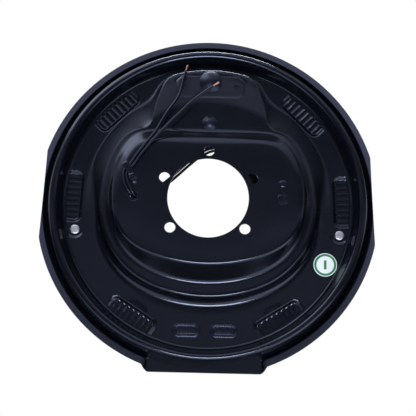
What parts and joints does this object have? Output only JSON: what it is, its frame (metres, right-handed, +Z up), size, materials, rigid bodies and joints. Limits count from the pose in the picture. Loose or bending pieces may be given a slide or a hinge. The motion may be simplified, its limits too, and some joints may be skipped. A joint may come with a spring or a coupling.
{
  "type": "electric trailer brake assembly",
  "caption": "Electric drum brake for a trailer axle: pressed backing plate with two lined shoes, a magnet on its lever arm, a star-wheel adjuster and two leads.",
  "frame": {"origin": "centre of the hub bore on the face that bolts to the axle flange", "axes": "+Y along the wheel axis away from the axle flange, towards the drum; +Z up to the anchor post; +X to the right seen from the axle side"},
  "size_m": [0.3462, 0.1001, 0.3507],
  "materials": {
    "black_coat": "gloss black electrocoat",
    "black_steel": "gloss black electrocoat",
    "zinc": "zinc plated",
    "bare_steel": "plain pressed steel",
    "spring_steel": "drawn spring wire",
    "copper": "bare copper wire",
    "friction": "moulded friction material",
    "black_rubber": "moulded rubber",
    "label": "printed paper label",
    "lead_sheath": "black cable sheath"
  },
  "bodies": {
    "plate": {"backing_plate": "black_coat", "anchor_post": "black_steel", "anchor_washer": "zinc", "pivot_stud": "black_steel", "stud_washer": "zinc", "stud_clip": "spring_steel", "retract_spring_primary": "spring_steel", "retract_spring_secondary": "spring_steel", "hold_down_pins": "zinc", "hold_down_springs": "spring_steel", "hold_down_cups": "zinc", "adjuster_nut": "zinc", "adjuster_button": "zinc", "adjuster_spring": "spring_steel", "slot_plugs": "black_rubber", "lead_grommets": "black_rubber", "clip_hole_plug": "black_rubber", "wire_clip": "black_steel", "clip_rivet": "black_steel", "label_disc": "label", "lead_a": "lead_sheath", "lead_b": "lead_sheath", "lead_a_strands": "copper", "lead_b_strands": "copper"},
    "lever": {"lever_arm": "bare_steel", "magnet_post": "bare_steel", "magnet_clip": "spring_steel", "magnet_spring": "spring_steel"},
    "magnet": {"magnet_case": "black_steel", "magnet_core": "bare_steel", "magnet_coil": "copper", "magnet_facing": "friction"},
    "primary": {"primary_shoe": "black_coat", "primary_lining": "friction"},
    "secondary": {"secondary_shoe": "black_coat", "secondary_lining": "friction"},
    "star": {"star_wheel": "zinc"}
  },
  "joints": [
    {"name": "lever_swing", "type": "hinge", "parent": "plate", "child": "lever", "pos_m": [0, 0.0647, 0.0808], "axis": [0, 1, 0], "range_deg": [0, 3.6], "stiffness_Nm_per_rad": 60, "deforming": ["lead_a", "lead_b"]},
    {"name": "magnet_plunge", "type": "slide", "parent": "lever", "child": "magnet", "axis": [0, -1, 0], "range_m": [0, 0.005], "stiffness_N_per_m": 2000, "springref_m": -0.001, "deforming": ["magnet_spring"]},
    {"name": "primary_pivot", "type": "hinge", "parent": "plate", "child": "primary", "pos_m": [0.039, 0.0647, -0.131], "axis": [0, 1, 0], "range_deg": [0, 0.35]},
    {"name": "secondary_pivot", "type": "hinge", "parent": "plate", "child": "secondary", "pos_m": [-0.039, 0.0647, -0.131], "axis": [0, -1, 0], "range_deg": [0, 0.35], "stiffness_Nm_per_rad": 60},
    {"name": "star_turn", "type": "hinge", "parent": "plate", "child": "star", "pos_m": [0.0192, 0.0647, -0.131], "axis": [1, 0, 0], "continuous": true}
  ],
  "couplings": [
    {"joint": "primary_pivot", "follows": "lever_swing", "ratio": 0.0972}
  ]
}
